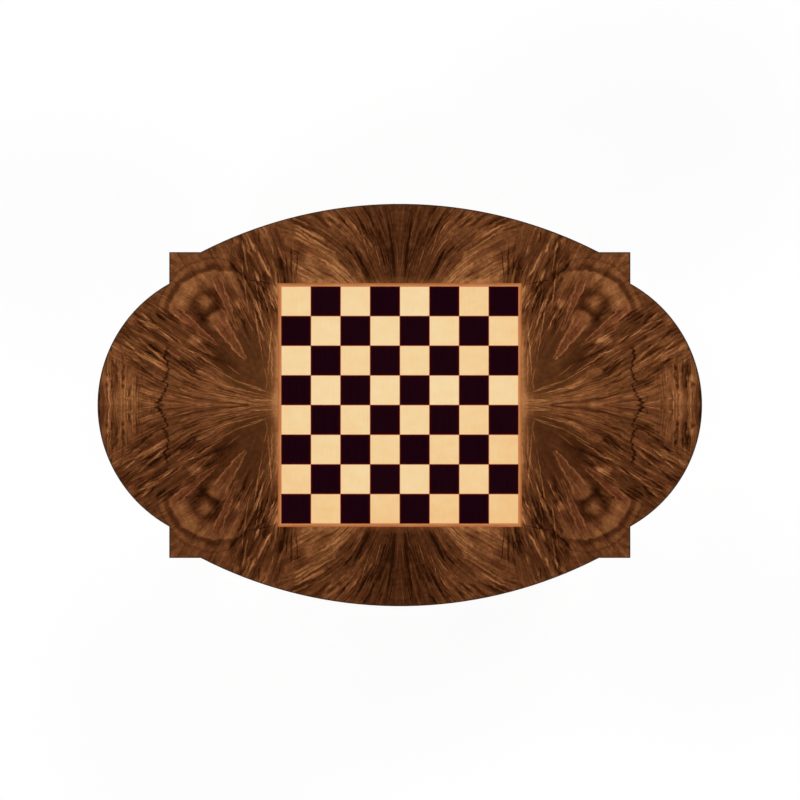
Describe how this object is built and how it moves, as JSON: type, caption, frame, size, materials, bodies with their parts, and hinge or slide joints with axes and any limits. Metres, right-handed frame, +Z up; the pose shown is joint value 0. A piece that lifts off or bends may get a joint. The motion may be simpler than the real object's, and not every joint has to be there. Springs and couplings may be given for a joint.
{
  "type": "chess table",
  "caption": "Game table with a bowed, square-cornered veneered top, an inlaid chessboard, tapered legs, bowed aprons and drawers for the men.",
  "frame": {"origin": "on the floor, under the middle of the top", "axes": "+X along the table, +Y across it towards the back player, +Z up"},
  "size_m": [1.02, 0.6788, 0.74],
  "materials": {
    "core": "bare lamination",
    "backing_veneer": "thin seal coat",
    "burr_veneer": "satin lacquer",
    "string": "satin lacquer",
    "dark_squares": "satin lacquer",
    "light_squares": "satin lacquer",
    "lipping": "satin lacquer",
    "solid_walnut": "satin lacquer",
    "frame_wood": "bare planed wood",
    "drawer_wood": "waxed wood",
    "baize": "woollen baize",
    "knob": "polished turned wood",
    "screw_steel": "plain steel",
    "glide": "moulded nylon"
  },
  "bodies": {
    "table": {"top_core": "core", "backing_veneer": "backing_veneer", "veneer_front_left": "burr_veneer", "veneer_front_right": "burr_veneer", "veneer_back_left": "burr_veneer", "veneer_back_right": "burr_veneer", "string_front": "string", "string_right": "string", "string_back": "string", "string_left": "string", "dark_squares": "dark_squares", "light_squares": "light_squares", "end_lipping_left": "lipping", "end_lipping_right": "lipping", "side_lipping_front": "lipping", "side_lipping_back": "lipping", "corner_lipping_front_left": "lipping", "corner_lipping_front_right": "lipping", "corner_lipping_back_left": "lipping", "corner_lipping_back_right": "lipping", "leg_front_left": "solid_walnut", "leg_front_right": "solid_walnut", "leg_back_left": "solid_walnut", "leg_back_right": "solid_walnut", "end_apron_left": "solid_walnut", "end_apron_right": "solid_walnut", "front_top_rail": "solid_walnut", "front_bottom_rail": "solid_walnut", "back_top_rail": "solid_walnut", "back_bottom_rail": "solid_walnut", "front_apron_left": "solid_walnut", "front_apron_right": "solid_walnut", "back_apron_left": "solid_walnut", "back_apron_right": "solid_walnut", "drawer_runner_left": "frame_wood", "drawer_runner_right": "frame_wood", "drawer_kicker_left": "frame_wood", "drawer_kicker_right": "frame_wood", "drawer_stop_rail": "frame_wood", "fixing_blocks": "frame_wood", "top_screws": "screw_steel", "foot_glides": "glide"},
    "front_drawer": {"front_drawer_face": "solid_walnut", "front_drawer_left_side": "drawer_wood", "front_drawer_right_side": "drawer_wood", "front_drawer_back": "drawer_wood", "front_drawer_bottom": "drawer_wood", "front_drawer_baize": "baize", "front_drawer_knob": "knob"},
    "back_drawer": {"back_drawer_face": "solid_walnut", "back_drawer_left_side": "drawer_wood", "back_drawer_right_side": "drawer_wood", "back_drawer_back": "drawer_wood", "back_drawer_bottom": "drawer_wood", "back_drawer_baize": "baize", "back_drawer_knob": "knob"}
  },
  "joints": [
    {"name": "front_drawer_slide", "type": "slide", "parent": "table", "child": "front_drawer", "axis": [0, -1, 0], "range_m": [0, 0.18]},
    {"name": "back_drawer_slide", "type": "slide", "parent": "table", "child": "back_drawer", "axis": [0, 1, 0], "range_m": [0, 0.18]}
  ]
}
